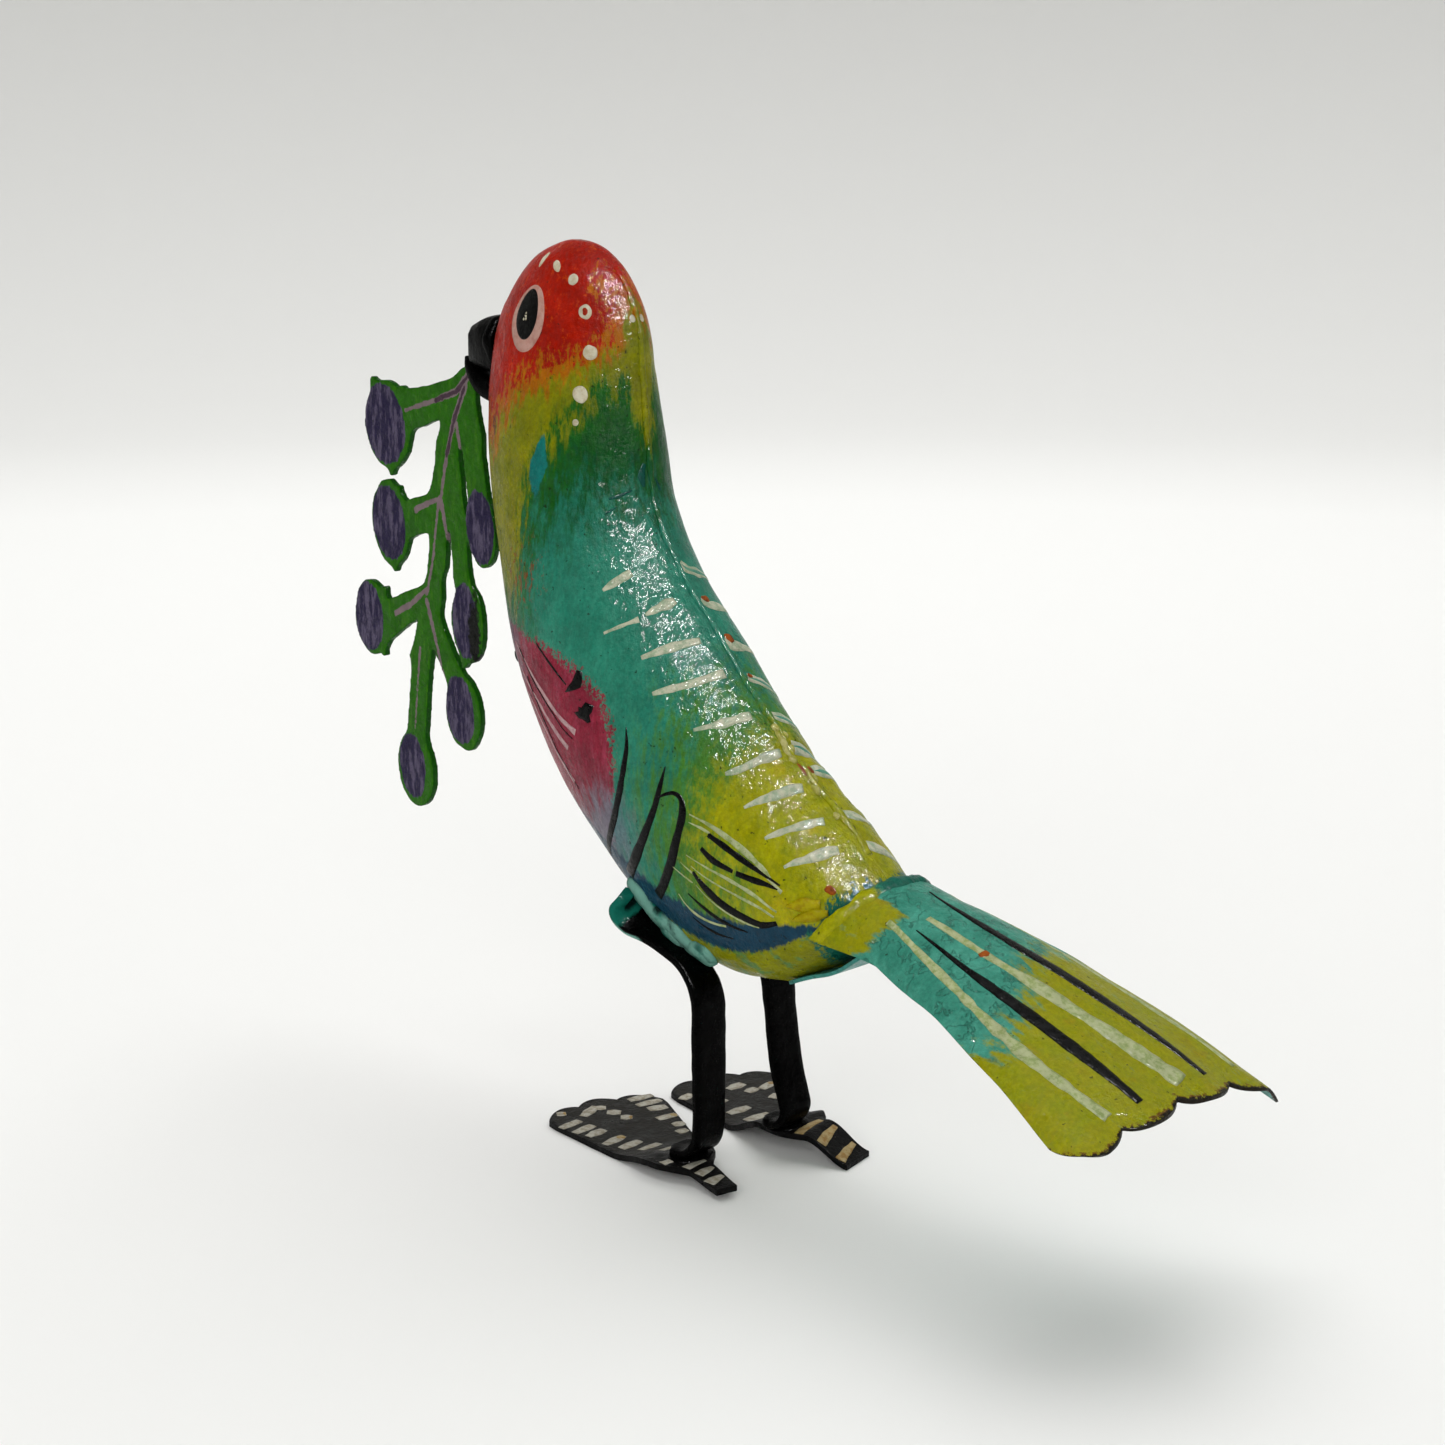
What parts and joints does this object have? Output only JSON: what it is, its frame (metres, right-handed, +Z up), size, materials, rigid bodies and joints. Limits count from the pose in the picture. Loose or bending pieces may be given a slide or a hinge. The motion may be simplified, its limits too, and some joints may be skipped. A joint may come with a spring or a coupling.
{
  "type": "painted metal bird figurine",
  "caption": "Hand-painted sheet-metal bird standing on two strip legs, with a scalloped tail and a flat cut-metal fruit sprig held in its beak.",
  "frame": {"origin": "bottom centre of the whole object's bounding box, on the plane its soles stand on", "axes": "+Z up; -Y the way the bird faces, so +Y runs from beak to tail along the object's longest extent; +X to the bird's left, the shortest extent"},
  "size_m": [0.0436, 0.1442, 0.1154],
  "materials": {
    "body_paint": "glossy hand-painted enamel, red head to teal back and pink and yellow underside",
    "seam_paint": "glossy painted solder bead",
    "tail_paint": "glossy lime-yellow enamel with dark and pale strokes",
    "joint_paint": "glossy teal paint over lumpy solder",
    "black_paint": "gloss black enamel",
    "sprig_paint": "glossy leaf-green enamel with dark purple fruits",
    "foot_paint": "dark grey enamel with pale dashes"
  },
  "bodies": {
    "root": {"body_shell_left": "body_paint", "body_shell_right": "body_paint", "back_seam_solder": "seam_paint", "breast_seam_solder": "seam_paint", "tail_fan": "tail_paint", "tail_brace": "joint_paint", "tail_root_solder": "joint_paint", "beak_upper": "black_paint", "beak_lower": "black_paint", "beak_solder": "black_paint", "fruit_sprig": "sprig_paint", "sprig_solder": "black_paint", "leg_left": "black_paint", "leg_right": "black_paint", "hip_solder_left": "joint_paint", "hip_solder_right": "joint_paint", "foot_left": "foot_paint", "foot_right": "foot_paint", "foot_solder_left": "black_paint", "foot_solder_right": "black_paint"}
  },
  "joints": []
}
